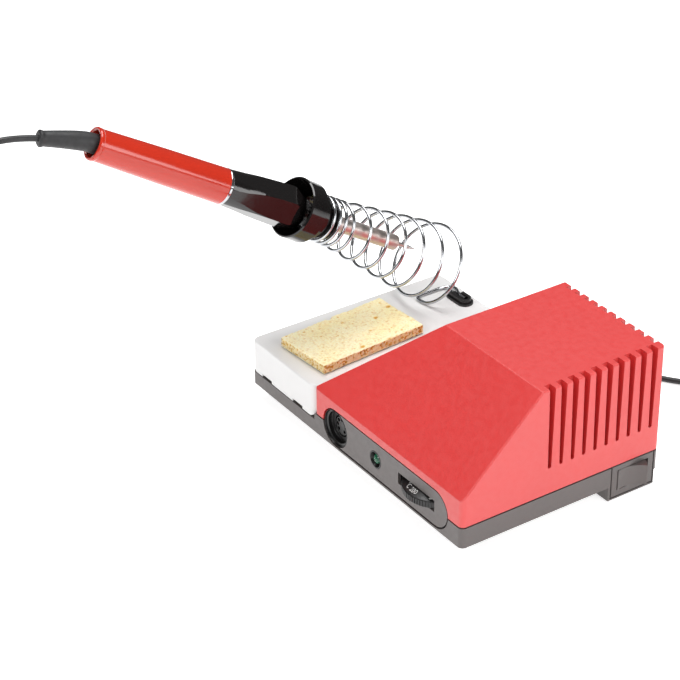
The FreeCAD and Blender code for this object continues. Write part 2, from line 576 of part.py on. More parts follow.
for y in (SWITCH_Y - 8, SWITCH_Y + 1, SWITCH_Y + 9):
    for z in (ROCKER_Z - 5.5, ROCKER_Z + 4.5):
        blades.append(box(93.5, 100.0, y - 0.4, y + 0.4, z - 2.4, z + 2.4))
save("switch_terminals", *blades)

# ---- iron holder ---------------------------------------------------------------------
pitch = radians(HOLDER_PITCH)
holder_dir = V(0, cos(pitch), -sin(pitch))
holder_up = V(0, sin(pitch), cos(pitch))
COIL_STEPS = 13
CORNER_OUT = 1.028       # a corner of a 13-sided ring stands this far outside its rounded path


def coil_point(t):
    """A corner of the holder wire's route, t turns after the first open turn's top."""
    if t < 0:
        s = 5.2 * t
        r = 15.5 + 0.05 * s
    else:
        late = max(0.0, t - 6.0)
        s = 13.6 * t + 0.30 * t ** 2 - 18.3 * late ** 2
        r = 15.5 + 0.1245 * s
    r *= CORNER_OUT
    phase = 2 * pi * t
    return HOLDER_O + holder_dir * s + holder_up * (r * cos(phase)) + V(r * sin(phase), 0, 0)


def holder_path():
    """The wire: close turns on the funnel, open turns, then across the tray to its clip."""
    first = -3.4
    count = int((LAST_TURN - first) * COIL_STEPS)
    points = [coil_point(first + (LAST_TURN - first) * i / count) for i in range(count + 1)]
    wire_z = DECK_Z + WIRE_R + 0.05
    for x, y, z in ((-90.0, 42.2, 0.1), (-94.6, 42.4, 0.0), (-96.6, 46.2, 0.0), (-96.4, 55.5, 0.0),
                    (-96.6, 65.0, 0.1), (-93.4, 70.0, 0.8), (-87.0, 70.7, 1.6), (-81.0, 67.0, 2.0),
                    (-72.5, 66.5, 2.1)):
        points.append(V(x, y, wire_z + z))
    return points


save("holder_coil", tube(holder_path(), WIRE_R, "holder wire"))
funnel_profile = [(0, 19.0), (0, 19.5), (0.7, 20.2), (12.7, 20.2), (13.3, 19.6), (13.3, 16.6), (19.0, 16.3),
                  (19.5, 15.9), (19.5, 13.4), (31.0, 13.3), (31.5, 12.8), (31.5, 11.4), (15.0, 11.6),
                  (1.4, 18.4)]
mouth = HOLDER_O + holder_dir * MOUTH_S
save("holder_funnel", lathe(funnel_profile, mouth, holder_dir))


def oval(half_len, half_wid, z0, z1):
    """A round-ended block along X, centred on the wire clip."""
    straight = half_len - half_wid
    shape = box(CLIP_X - straight, CLIP_X + straight, CLIP_Y - half_wid, CLIP_Y + half_wid, z0, z1)
    for sign in (-1, 1):
        shape = shape.fuse(cyl(half_wid, V(CLIP_X + sign * straight, CLIP_Y, z0), UP, z1 - z0))
    return shape.removeSplitter()


clip = oval(11.5, 5.7, DECK_Z, DECK_Z + 1.5).fuse(oval(10.0, 4.3, DECK_Z, DECK_Z + 4.2))
clip = clip.cut(oval(8.2, 2.0, DECK_Z + 1.2, DECK_Z + 6))
clip = clip.cut(box(-91.0, -80.0, 66.0, 74.0, DECK_Z + 0.6, DECK_Z + 6))
for dx in (-5.0, 5.0):
    clip = clip.fuse(cyl(1.6, V(CLIP_X + dx, CLIP_Y, DECK_Z - 4.5), UP, 5.2))
save("coil_clip", clip.removeSplitter())

# ---- sponge --------------------------------------------------------------------------
sponge = rounded_box(-23.6, 23.6, -42.1, 42.1, DECK_Z + 0.3, DECK_Z + 7.3, 3.0)
sponge.rotate(V(0, 0, 0), UP, 4.2)
sponge.translate(V(-75.5, -23.5, 0))
save("sponge", sponge)

# ---- soldering iron ------------------------------------------------------------------
iron_dir = V(IRON_DIR).normalize()


def turned(profile):
    return lathe(profile, IRON_O, iron_dir)


grip_end = RING_S - 1.4
grip = turned([(-2.0, 0), (-2.0, 7.4), (3.0, 8.2), (5.0, 9.0), (14.5, 13.6), (16.5, 14.6), (19.0, 14.9),
               (24.0, 14.8), (42.0, 13.7), (53.0, 12.5), (grip_end, 11.75), (grip_end, 0)])
side_ref = iron_dir.cross(UP).normalize()
top_ref = side_ref.cross(iron_dir).normalize()
FACET_NEAR = 11.4        # distance of each finger facet from the axis, at the ring
FACET_FAR = 13.2         # the same at the front of the grip
for i in range(GRIP_FACETS):
    angle = radians(30 + i * 360.0 / GRIP_FACETS)
    out = top_ref * cos(angle) + side_ref * sin(angle)
    across = iron_dir.cross(out)
    corner = IRON_O - across * 30
    grip = grip.cut(prism([corner + iron_dir * 8.0 + out * FACET_FAR,
                           corner + iron_dir * RING_S + out * FACET_NEAR,
                           corner + iron_dir * RING_S + out * 30,
                           corner + iron_dir * 8.0 + out * 30], across * 60))
grip = grip.cut(turned([(-3, 0), (-3, BARREL_R + 0.2), (40.0, BARREL_R + 0.2), (40.0, 7.0), (RING_S, 7.0),
                        (RING_S, 0)]))
save("iron_grip", grip.removeSplitter())
ring_profile = [(RING_S - 1.4, 7.0), (RING_S - 1.4, 11.8), (RING_S - 1.1, 12.0), (RING_S + 0.2, 12.0),
                (RING_S + 0.5, 11.8), (RING_S + 0.5, 7.0)]
save("iron_ring", turned(ring_profile))
rear0 = RING_S + 0.5
end = HANDLE_END_S
rear = turned([(rear0, 7.0), (rear0, 11.8), (110.0, 11.3), (end - 3.2, 10.35), (end - 2.6, 10.65),
               (end - 0.9, 10.65), (end - 0.3, 10.3), (end, 9.6), (end - 0.2, 8.9), (end - 0.8, 8.4),
               (end - 3.0, 8.2), (140.0, 8.2), (140.0, 6.0), (136.0, 6.0), (136.0, 9.0), (rear0 + 4, 9.0),
               (rear0 + 4, 7.0)])
save("iron_handle", rear)
nut_bore = BARREL_R + 0.1
save("iron_nut", turned([(-12.0, nut_bore), (-12.0, 6.5), (-11.2, 7.1), (-2.0, 7.1), (-2.0, nut_bore)]))
barrel_bore = BARREL_R - 0.6
face = BARREL_END_S
barrel = turned([(face, 1.6), (face, 3.9), (face + 1.0, BARREL_R - 0.2), (face + 2.5, BARREL_R),
                 (38.0, BARREL_R), (38.0, barrel_bore), (face + 3.2, barrel_bore), (face + 3.2, 1.6)])
save("iron_barrel", barrel)
tip = turned([(TIP_S, 0), (TIP_S, 0.5), (TIP_S + 5.0, 1.35), (face - 1.5, 1.4), (face - 0.2, 1.5),
              (face + 3.4, 1.5), (face + 3.4, 4.5), (-46.0, 4.5), (-46.0, 0)])
save("iron_tip", tip)
heater = turned([(-45.8, 0), (-45.8, 4.5), (0.0, 4.5), (0.0, 0)])
save("iron_heater", heater)

# Cord boot: leaves the handle along the iron's axis and bends over towards level.
level = V(iron_dir.x, iron_dir.y, 0).normalize()
boot_root = IRON_O + iron_dir * 146.0
boot_knee = IRON_O + iron_dir * 168.0
boot_end = boot_knee + level * 27.0 + UP * 6.5
boot_dir = (boot_end - boot_knee).normalize()
half = iron_dir.getAngle(boot_dir) / 2
reach = 0.8 * min((boot_knee - boot_root).Length, (boot_end - boot_knee).Length)
bend_a = boot_knee - iron_dir * reach
bend_b = boot_knee + boot_dir * reach
inward = (boot_dir - iron_dir).normalize()
bend_m = boot_knee + inward * (reach / sin(half) - reach / tan(half))
boot_spine = Part.Wire([Part.LineSegment(boot_root, bend_a).toShape(),
                        Part.Arc(bend_a, bend_m, bend_b).toShape(),
                        Part.LineSegment(bend_b, boot_end).toShape()])
root_disc = Part.Wire(Part.Circle(boot_root, iron_dir, 6.7).toShape())
end_disc = Part.Wire(Part.Circle(boot_end, boot_dir, 4.6).toShape())
boot = Part.Solid(boot_spine.makePipeShell([root_disc, end_disc], True, True).Shells[0])
boot = boot.fuse(cyl(7.8, IRON_O + iron_dir * 140.2, iron_dir, 6.0)).removeSplitter()
boot = boot.fuse(cyl(5.0, boot_end - boot_dir * 2.5, boot_dir, 2.5)).removeSplitter()
save("iron_boot", boot)


# ---- the iron's lead -----------------------------------------------------------------
def wound_coil(centre, cord_r, mean_r, wide, high, floor_gap, stubs):
    """The outer shape of a wound cord: a ring of wide by high turns, with its tangent ends."""
    half = wide * cord_r
    low = floor_gap
    top = floor_gap + 2 * cord_r * high
    ring = cyl(mean_r + half, V(centre.x, centre.y, low), UP, top - low)
    ring = ring.cut(cyl(mean_r - half, V(centre.x, centre.y, low - 1), UP, top - low + 2))
    ring = ring.makeFillet(cord_r * 0.9, [e for e in ring.Edges if isinstance(e.Curve, Part.Circle)])
    for start, direction, length in stubs:
        ring = ring.fuse(cyl(cord_r, start, direction, length))
    return ring.removeSplitter()


def coil_tie(centre, cord_r, mean_r, wide, high, floor_gap, towards, coil):
    """A strap around the coil's turns at one place."""
    half = wide * cord_r + 0.9
    band = box(mean_r - half, mean_r + half, -3.5, 3.5, floor_gap - 0.9, floor_gap + 2 * cord_r * high + 0.9)
    band.rotate(V(0, 0, 0), UP, towards)
    band.translate(V(centre.x, centre.y, 0))
    return band.cut(coil)


COIL_GAP = 1.0
LEAD_COIL = V(-140.0, -336.0, 0)
LEAD_MEAN_R = 22.6
LEAD_WIDE = 3
LEAD_HIGH = 2
lead_z = COIL_GAP + IRON_CORD_R
lead_out_r = LEAD_MEAN_R + (LEAD_WIDE - 1) * IRON_CORD_R
PLUG_R = 8.0
lead_route = [boot_end, boot_end + boot_dir * 22, V(-134.0, -262.0, 222.0), V(-136.0, -284.0, 204.0),
              V(-136.5, -297.0, 172.0), V(-135.0, -301.5, 132.0), V(-131.5, -299.0, 92.0),
              V(-127.0, -292.0, 54.0), V(-121.5, -285.5, 26.0), V(-116.0, -286.5, 8.5),
              V(-113.3, -300.0, lead_z), V(-113.3, -315.0, lead_z)]
save("iron_lead", tube(lead_route, IRON_CORD_R, "iron lead"))
lead_end = lead_route[-1]
plug_dir = V(-0.08, 1, 0).normalize()
plug_start = LEAD_COIL + V(-lead_out_r, 20.0, PLUG_R + 0.1)
lead_coil = wound_coil(LEAD_COIL, IRON_CORD_R, LEAD_MEAN_R, LEAD_WIDE, LEAD_HIGH, COIL_GAP,
                       [(lead_end, V(LEAD_COIL.x + lead_out_r, LEAD_COIL.y, lead_z) - lead_end, 22.0),
                        (plug_start, DOWN.cross(V(1, 0, 0)), 20.0)])
save("iron_lead_coil", lead_coil)
save("iron_lead_tie", coil_tie(LEAD_COIL, IRON_CORD_R, LEAD_MEAN_R, LEAD_WIDE, LEAD_HIGH, COIL_GAP,
                               -70, lead_coil))

# The lead's plug lies beside its coil.
plug_shell = lathe([(0, 0), (0, 3.2), (1.0, 3.4), (14.0, 4.6), (14.5, 7.4), (16.0, 8.0), (35.0, 8.0),
                    (35.0, 7.2), (43.0, 7.2), (43.0, 6.5), (34.0, 6.5), (34.0, 0)], plug_start, BACKWARD)
save("iron_plug_shell", plug_shell)
plug_insert = lathe([(34.0, 0), (34.0, 6.4), (37.5, 6.4), (37.5, 0)], plug_start, BACKWARD)
save("iron_plug_insert", plug_insert)
plug_pins = []
for px, pz in PIN_SPOTS:
    at = plug_start + V(px, 37.5, pz)
    pin = cyl(0.55, at, BACKWARD, 5.0).fuse(Part.makeSphere(0.55, at + BACKWARD * 5.0)).removeSplitter()
    plug_pins.append(pin)
save("iron_plug_pins", *plug_pins)

# ---- mains lead ----------------------------------------------------------------------
exit_at = V(CORD_EXIT_X, BACK, CORD_EXIT_Z)
relief = lathe([(-4.8, 0), (-4.8, 5.2), (-2.6, 5.2), (-2.6, 4.1), (0, 4.1), (0, 6.0), (2.0, 6.0), (2.6, 5.2),
                (28.0, 3.2), (30.0, 3.0), (30.0, 0)], exit_at, BACKWARD)
for i in range(5):
    s = 6.0 + i * 4.6
    groove = lathe([(s, 2.7), (s, 7.0), (s + 1.6, 7.0), (s + 1.6, 2.7)], exit_at, BACKWARD)
    relief = relief.cut(groove)
save("mains_strain_relief", relief)
MAINS_MEAN_R = 22.0
MAINS_WIDE = 4
MAINS_HIGH = 2
MAINS_COIL = V(93.0, 171.0, 0)
mains_z = COIL_GAP + MAINS_CORD_R
mains_out_r = MAINS_MEAN_R + (MAINS_WIDE - 1) * MAINS_CORD_R
heading = V(0.83, 0.558, 0).normalize()
left_side = V(-heading.y, heading.x, 0)
mains_touch = MAINS_COIL + left_side * mains_out_r + UP * mains_z
mains_end = mains_touch - heading * 16.0
mains_route = [exit_at + BACKWARD * 30.0, V(CORD_EXIT_X, 118.0, 18.5), V(-14.5, 130.3, 14.0),
               V(-11.3, 140.9, 7.2), V(-3.8, 148.2, 2.8), V(8.5, 152.4, 2.2), V(25.0, 156.4, 2.2),
               mains_end - heading * 17.0, mains_end]
save("mains_lead", tube(mains_route, MAINS_CORD_R, "mains lead"))
mains_plug_at = MAINS_COIL + V(22.0, mains_out_r, mains_z + 2 * MAINS_CORD_R)
mains_coil = wound_coil(MAINS_COIL, MAINS_CORD_R, MAINS_MEAN_R, MAINS_WIDE, MAINS_HIGH, COIL_GAP,
                        [(mains_end, heading, 16.0), (mains_plug_at, V(-1, 0, 0), 22.0)])
save("mains_lead_coil", mains_coil)
save("mains_lead_tie", coil_tie(MAINS_COIL, MAINS_CORD_R, MAINS_MEAN_R, MAINS_WIDE, MAINS_HIGH, COIL_GAP,
                                -60, mains_coil))
PLUG_LEAN = radians(20.5)
mains_rise = V(cos(PLUG_LEAN), 0, sin(PLUG_LEAN))
plug_profile = [(0, 0), (0, 3.0), (12.0, 4.4), (16.0, 5.6), (22.0, 12.5), (27.0, 17.5), (31.0, 18.4),
                (44.0, 18.4), (44.0, 17.2), (45.0, 16.8), (45.0, 0)]
save("mains_plug_body", lathe(plug_profile, mains_plug_at, mains_rise))
mains_pins = []
for side in (-1, 1):
    at = mains_plug_at + mains_rise * 45.0 + V(0, 9.5 * side, 0)
    pin = cyl(2.35, at, mains_rise, 16.7).fuse(Part.makeSphere(2.35, at + mains_rise * 16.7)).removeSplitter()
    mains_pins.append(pin)
save("mains_plug_pins", *mains_pins)
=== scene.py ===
import json
import math

import bmesh
import bpy
from mathutils import Euler, Matrix, Vector, noise


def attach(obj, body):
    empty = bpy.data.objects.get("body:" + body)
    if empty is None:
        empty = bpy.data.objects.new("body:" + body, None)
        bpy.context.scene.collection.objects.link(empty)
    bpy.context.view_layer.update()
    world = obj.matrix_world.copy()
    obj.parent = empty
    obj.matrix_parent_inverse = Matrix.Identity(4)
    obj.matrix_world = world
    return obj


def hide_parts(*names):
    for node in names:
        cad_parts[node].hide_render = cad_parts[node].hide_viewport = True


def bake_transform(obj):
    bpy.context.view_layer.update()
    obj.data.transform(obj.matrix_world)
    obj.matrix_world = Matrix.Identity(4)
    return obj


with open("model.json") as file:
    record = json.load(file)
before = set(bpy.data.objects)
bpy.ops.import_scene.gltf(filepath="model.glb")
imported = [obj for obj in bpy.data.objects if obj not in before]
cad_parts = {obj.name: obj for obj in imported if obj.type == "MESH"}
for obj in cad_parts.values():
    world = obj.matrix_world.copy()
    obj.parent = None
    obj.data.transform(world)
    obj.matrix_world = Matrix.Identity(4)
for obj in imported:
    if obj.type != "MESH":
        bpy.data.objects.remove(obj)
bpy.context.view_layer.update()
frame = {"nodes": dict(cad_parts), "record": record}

MM = 0.001


# ---- camera ------------------------------------------------------------------------------
CAMERA_AT = (0.9747, -0.7344, 0.7971)
CAMERA_AZIMUTH = 56.275          # degrees round from looking along +Y
CAMERA_ELEVATION = 30.68
CAMERA_ROLL = -0.61
CAMERA_LENS = 118.7


def add_camera():
    """The camera, from its place, direction, roll and lens."""
    data = bpy.data.cameras.new("camera")
    data.lens = CAMERA_LENS
    data.sensor_width = 36.0
    data.clip_start = 0.05
    data.clip_end = 20.0
    camera = bpy.data.objects.new("camera", data)
    bpy.context.scene.collection.objects.link(camera)
    turn = Euler((math.radians(90 - CAMERA_ELEVATION), 0, math.radians(CAMERA_AZIMUTH)))
    roll = Matrix.Rotation(math.radians(CAMERA_ROLL), 4, "Z")
    camera.matrix_world = Matrix.Translation(CAMERA_AT) @ turn.to_matrix().to_4x4() @ roll
    bpy.context.scene.camera = camera


add_camera()


# ---- cords -------------------------------------------------------------------------------
TURN_POINTS = 16
CORNER_OUT = 1 / math.cos(math.pi / TURN_POINTS)    # the smooth line runs inside its points


def millimetres(points):
    """Vectors in metres from points in millimetres."""
    return [Vector(p) * MM for p in points]


def link(obj):
    """Put a new object in the scene."""
    bpy.context.scene.collection.objects.link(obj)
    return obj


def nurbs_line(name, points, radius):
    """A curve object whose one smooth spline has these control points."""
    data = bpy.data.curves.new(name, "CURVE")
    data.dimensions = "3D"
    data.resolution_u = 8
    data.bevel_depth = radius
    data.bevel_resolution = 7
    data.use_fill_caps = True
    spline = data.splines.new("NURBS")
    spline.points.add(len(points) - 1)
    for control, point in zip(spline.points, points):
        control.co = (*point, 1.0)
    spline.order_u = 3
    spline.use_endpoint_u = True
    return bpy.data.objects.new(name, data)


def line_points(curve_object):
    """The points along a curve object's own line, without its thickness."""
    bare = bpy.data.objects.new("bare", curve_object.data.copy())
    bare.data.bevel_depth = 0
    mesh = bpy.data.meshes.new_from_object(bare)
    points = [vertex.co.copy() for vertex in mesh.vertices]
    bpy.data.meshes.remove(mesh)
    bpy.data.objects.remove(bare)
    return points


def tube_along(name, points, radius):
    """A round mesh tube along a smooth line, and the points of that line."""
    route = nurbs_line(name + "_line", points, radius)
    mesh = bpy.data.meshes.new_from_object(route)
    mesh.name = name
    for polygon in mesh.polygons:
        polygon.use_smooth = True
    path = line_points(route)
    bpy.data.objects.remove(route)
    return link(bpy.data.objects.new(name, mesh)), path


def smooth_step(value):
    """An even rise from nought to one, level at both ends."""
    value = min(1.0, max(0.0, value))
    return value * value * (3 - 2 * value)


def coil_turns(centre, start_angle, rings, turns):
    """Points of a wound coil, clockwise from above. rings lists (turn it begins at, radius, height)."""
    jog = 0.14
    points = []
    count = round(turns * TURN_POINTS)
    for i in range(count + 1):
        t = turns * i / count
        radius, height = rings[0][1], rings[0][2]
        for begin, ring_radius, ring_height in rings[1:]:
            share = smooth_step((t - begin) / jog + 0.5)
            radius += (ring_radius - radius) * share
            height += (ring_height - height) * share
        angle = start_angle - 2 * math.pi * t
        out = radius * CORNER_OUT
        points.append(Vector((centre[0] + out * math.cos(angle), centre[1] + out * math.sin(angle), height)))
    return points


LEAD_D = 4.1
LEAD_COIL = (-140.0, -336.0)
LEAD_Z = 3.05
LEAD_R = (26.7, 22.6, 18.5)
lead_points = [
    (-125.7, -213.6, 223.7), (-129.2, -234.8, 228.8), (-134, -262, 222), (-136, -284, 204),
    (-136.5, -297, 172), (-135, -301.5, 132), (-131.5, -299, 92), (-127, -292, 54),
    (-121.5, -285.5, 26), (-116, -286.5, 8.5), (-113.3, -300, 3.05), (-113.3, -315, 3.05),
]
lead_rings = [(0, LEAD_R[0], LEAD_Z), (0.93, LEAD_R[1], LEAD_Z), (1.93, LEAD_R[2], LEAD_Z),
              (2.93, LEAD_R[2], LEAD_Z + LEAD_D), (3.86, LEAD_R[1], LEAD_Z + LEAD_D),
              (4.86, LEAD_R[0], LEAD_Z + LEAD_D + 0.9)]
mains_points = [
    (-15, 106.5, 18.9), (-15, 118, 18.5), (-14.5, 130.3, 14), (-11.3, 140.9, 7.2), (-3.8, 148.2, 2.8),
    (8.5, 152.4, 2.2), (25, 156.4, 2.2), (50.0, 175.8, 3), (64.1, 185.3, 3),
]
MAINS_D = 4.0
MAINS_COIL = (93.0, 171.0)
MAINS_R = (28.0, 24.0, 20.0, 16.0)
MAINS_Z = 3.0
MAINS_START = math.atan2(0.83, -0.558)
mains_rings = [(0, MAINS_R[0], MAINS_Z), (0.93, MAINS_R[1], MAINS_Z), (1.93, MAINS_R[2], MAINS_Z),
               (2.93, MAINS_R[3], MAINS_Z), (3.8, MAINS_R[3], MAINS_Z + MAINS_D),
               (4.2, MAINS_R[2], MAINS_Z + MAINS_D), (5.2, MAINS_R[1], MAINS_Z + MAINS_D),
               (6.2, MAINS_R[0], MAINS_Z + MAINS_D)]


def add_iron_lead():
    """The iron's lead: a bend down to the floor, a wound coil, then its plug."""
    turns = coil_turns(LEAD_COIL, 0.0, lead_rings, 5.5)
    plug = Vector((LEAD_COIL[0] - LEAD_R[0], LEAD_COIL[1] + 20.0, 8.1))
    points = millimetres(lead_points + [(-113.3, -326, 3.05)] + turns[1:] + [plug])
    lead, path = tube_along("iron_lead_cord", points, LEAD_D / 2 * MM)
    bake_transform(lead)
    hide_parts("iron_lead", "iron_lead_coil")
    return lead


def add_mains_lead():
    """The mains lead: along the floor to a wound coil, then its plug."""
    turns = coil_turns(MAINS_COIL, MAINS_START, mains_rings, 7.094)
    plug = Vector((MAINS_COIL[0] + 22.0, MAINS_COIL[1] + MAINS_R[0], MAINS_Z + MAINS_D))
    points = millimetres(mains_points + turns[1:] + [plug])
    lead, path = tube_along("mains_lead_cord", points, MAINS_D / 2 * MM)
    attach(lead, "station")
    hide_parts("mains_lead", "mains_lead_coil")
    return lead


iron_lead = add_iron_lead()
mains_lead = add_mains_lead()


# ---- materials ---------------------------------------------------------------------------
def set_range(node, from_low, from_high, to_low, to_high):
    """Fill in the four numbers of a map range node."""
    numbers = {"From Min": from_low, "From Max": from_high, "To Min": to_low, "To Max": to_high}
    for socket, number in numbers.items():
        node.inputs[socket].default_value = number


class Finish:
    """One procedural material, built from textures in the object's own space."""

    def __init__(self, name, colour, roughness, **sockets):
        self.material = bpy.data.materials.new(name)
        self.material.use_nodes = True
        self.material.diffuse_color = (*colour, 1.0)
        self.nodes = self.material.node_tree.nodes
        self.links = self.material.node_tree.links
        self.shader = self.nodes["Principled BSDF"]
        self.colour = colour
        self.shader.inputs["Base Color"].default_value = (*colour, 1.0)
        self.shader.inputs["Roughness"].default_value = roughness
        for socket, value in sockets.items():
            self.shader.inputs[socket.replace("_", " ")].default_value = value
        self.where = self.nodes.new("ShaderNodeTexCoord").outputs["Object"]
        self.normal = None

    def put(self, socket, value):
        """Plug a number or another node's output into a socket."""
        if isinstance(value, bpy.types.NodeSocket):
            self.links.new(value, socket)
        else:
            socket.default_value = value

    def stretched(self, stretch):
        """The object's own coordinates, scaled by three factors."""
        node = self.nodes.new("ShaderNodeMapping")
        node.inputs["Scale"].default_value = stretch
        self.links.new(self.where, node.inputs["Vector"])
        return node.outputs["Vector"]

    def clouds(self, size, detail=3.0):
        """Soft noise whose features are about size metres across."""
        node = self.nodes.new("ShaderNodeTexNoise")
        node.inputs["Scale"].default_value = 1 / size
        node.inputs["Detail"].default_value = detail
        self.links.new(self.where, node.inputs["Vector"])
        return node.outputs["Fac"]

    def cells(self, size, stretch=(1, 1, 1)):
        """Distance from the nearest of many scattered points, in sizes."""
        node = self.nodes.new("ShaderNodeTexVoronoi")
        node.inputs["Scale"].default_value = 1 / size
        self.links.new(self.stretched(stretch), node.inputs["Vector"])
        return node.outputs["Distance"]

    def bands(self, size, direction, distortion=0.0):
        """Fine parallel lines across one axis, as machining leaves."""
        node = self.nodes.new("ShaderNodeTexWave")
        node.bands_direction = direction
        node.inputs["Scale"].default_value = 0.314 / size
        node.inputs["Distortion"].default_value = distortion
        self.links.new(self.where, node.inputs["Vector"])
        return node.outputs["Fac"]

    def between(self, value, low, high, low_at=0.35, high_at=0.65):
        """A number that runs from low to high as value goes from low_at to high_at."""
        node = self.nodes.new("ShaderNodeMapRange")
        self.put(node.inputs["Value"], value)
        set_range(node, low_at, high_at, low, high)
        return node.outputs["Result"]

    def mixed(self, share, first, second):
        """A colour between first and second."""
        node = self.nodes.new("ShaderNodeMix")
        node.data_type = "RGBA"
        self.put(node.inputs[0], share)
        for socket, colour in ((node.inputs[6], first), (node.inputs[7], second)):
            self.put(socket, colour if isinstance(colour, bpy.types.NodeSocket) else (*colour, 1.0))
        return node.outputs[2]

    def edges(self, radius):
        """One on the part's sharp outer and inner edges, nought on its faces."""
        bevel = self.nodes.new("ShaderNodeBevel")
        bevel.samples = 4
        bevel.inputs["Radius"].default_value = radius
        geometry = self.nodes.new("ShaderNodeNewGeometry")
        dot = self.nodes.new("ShaderNodeVectorMath")
        dot.operation = "DOT_PRODUCT"
        self.links.new(bevel.outputs["Normal"], dot.inputs[0])
        self.links.new(geometry.outputs["Normal"], dot.inputs[1])
        return self.between(dot.outputs["Value"], 1.0, 0.0, 0.80, 0.99)

    def tint(self, share, darker, lighter):
        """Vary the base colour between two brightnesses of itself."""
        first = [channel * darker for channel in self.colour]
        second = [min(1.0, channel * lighter) for channel in self.colour]
        colour = self.mixed(share, first, second)
        self.links.new(colour, self.shader.inputs["Base Color"])
        return colour

    def edge_highlight(self, colour, radius, lighter, amount):
        """Paint a highlight into the colour along edges, lighter in uneven patches."""
        patchy = self.nodes.new("ShaderNodeMath")
        patchy.operation = "MULTIPLY"
        self.links.new(self.edges(radius), patchy.inputs[0])
        self.links.new(self.between(self.clouds(0.006), 0.0, amount), patchy.inputs[1])
        # The painted highlight's colour: the base colour made lighter.
        edge_highlight = [min(1.0, channel * lighter + 0.02) for channel in self.colour]
        self.links.new(self.mixed(patchy.outputs["Value"], colour, edge_highlight), self.shader.inputs["Base Color"])

    def rough(self, share, low, high):
        """Vary the roughness between two values."""
        self.links.new(self.between(share, low, high), self.shader.inputs["Roughness"])

    def bump(self, height, depth, strength=1.0):
        """Add a relief of that depth in metres to the surface."""
        node = self.nodes.new("ShaderNodeBump")
        node.inputs["Strength"].default_value = strength
        node.inputs["Distance"].default_value = depth
        self.links.new(height, node.inputs["Height"])
        if self.normal is not None:
            self.links.new(self.normal, node.inputs["Normal"])
        self.normal = node.outputs["Normal"]
        self.links.new(self.normal, self.shader.inputs["Normal"])


def moulded(name, colour, roughness, grain=0.0007, depth=0.00004, edge=1.25, **sockets):
    """Injection-moulded plastic: spark-eroded grain, faint flow clouds, and a painted highlight that
    lightens the colour along its edges.
    """
    finish = Finish(name, colour, roughness, **sockets)
    clouds = finish.clouds(0.03)
    tinted = finish.tint(clouds, 0.95, 1.05)
    # Painted highlight: the colour is made lighter along the edges.
    finish.edge_highlight(tinted, 0.0006, edge, 0.6)
    finish.rough(finish.clouds(0.004), roughness - 0.05, roughness + 0.05)
    finish.bump(finish.clouds(grain, 2.0), depth)
    finish.bump(clouds, 0.0002, 0.3)
    return finish.material


def glossy(name, colour, roughness, **sockets):
    """Polished plastic: faint waviness, dust-fine pits, and a painted highlight that lightens the colour
    along its edges.
    """
    finish = Finish(name, colour, roughness, **sockets)
    tinted = finish.tint(finish.clouds(0.02), 0.94, 1.06)
    # Painted highlight: the colour is made lighter along the edges.
    finish.edge_highlight(tinted, 0.0004, 1.3, 0.5)
    finish.rough(finish.clouds(0.0015, 5.0), roughness * 0.7, roughness * 1.5)
    finish.bump(finish.clouds(0.008, 1.0), 0.0001, 0.25)
    return finish.material


def rubbery(name, colour, roughness):
    """Moulded rubber or soft vinyl: dull, with a fine orange-peel skin and a chalky bloom."""
    finish = Finish(name, colour, roughness, Sheen_Weight=0.08, Sheen_Roughness=0.5)
    bloom = finish.clouds(0.01, 5.0)
    tinted = finish.tint(bloom, 0.8, 1.35)
    # Painted highlight: the colour is made lighter along the edges.
    finish.edge_highlight(tinted, 0.0005, 1.8, 0.5)
    finish.rough(finish.clouds(0.003), roughness - 0.08, roughness + 0.06)
    finish.bump(finish.clouds(0.0005, 2.0), 0.00003)
    return finish.material


def metal(name, colour, roughness, grain=0.0006, direction=None, stain=None, **sockets):
    """Bare or plated metal with fine machining lines and slight smears."""
    finish = Finish(name, colour, roughness, Metallic=1.0, **sockets)
    smears = finish.clouds(0.012, 4.0)
    if stain is None:
        finish.tint(smears, 0.88, 1.08)
    else:
        stained = finish.mixed(finish.between(smears, 0.0, 1.0, 0.38, 0.62), colour, stain)
        finish.links.new(stained, finish.shader.inputs["Base Color"])
    finish.rough(finish.clouds(0.002, 4.0), roughness * 0.6, roughness * 1.5)
    if direction is not None:
        finish.bump(finish.bands(grain, direction, 1.5), 0.00002, 0.6)
    finish.bump(finish.clouds(grain, 3.0), 0.00001, 0.5)
    return finish.material


def clear(name, colour, roughness, weight):
    """Tinted clear plastic or glass with a little haze."""
    finish = Finish(name, colour, roughness, Transmission_Weight=weight, IOR=1.5)
    finish.tint(finish.clouds(0.002), 0.85, 1.15)
    finish.rough(finish.clouds(0.0012), roughness * 0.6, roughness * 1.6)
    finish.bump(finish.clouds(0.003, 1.0), 0.00002, 0.3)
    return finish.material


def circuit_board():
    """Green solder resist over darker copper tracks, with tinned pads."""
    finish = Finish("circuit_board", (0.02, 0.16, 0.06), 0.35)
    tracks = finish.between(finish.cells(0.006, (1.0, 2.2, 1.0)), 0.0, 1.0, 0.33, 0.36)
    resist = finish.mixed(tracks, (0.03, 0.24, 0.09), (0.015, 0.12, 0.05))
    finish.links.new(resist, finish.shader.inputs["Base Color"])
    finish.rough(finish.clouds(0.002), 0.28, 0.42)
    finish.bump(tracks, 0.00004, 0.5)
    return finish.material


def laminations():
    """Varnished stack of thin steel sheets: fine parallel lines and uneven varnish."""
    finish = Finish("core_steel", (0.16, 0.15, 0.15), 0.45, Metallic=0.7)
    sheets = finish.bands(0.0005, "Y")
    varnish = finish.clouds(0.015, 4.0)
    darkened = finish.mixed(finish.between(varnish, 0.0, 1.0), (0.19, 0.17, 0.16), (0.09, 0.075, 0.065))
    finish.links.new(finish.mixed(finish.between(sheets, 0.0, 0.6), darkened, (0.03, 0.027, 0.025)),
                     finish.shader.inputs["Base Color"])
    finish.rough(varnish, 0.3, 0.6)
    finish.bump(sheets, 0.0001, 0.6)
    return finish.material


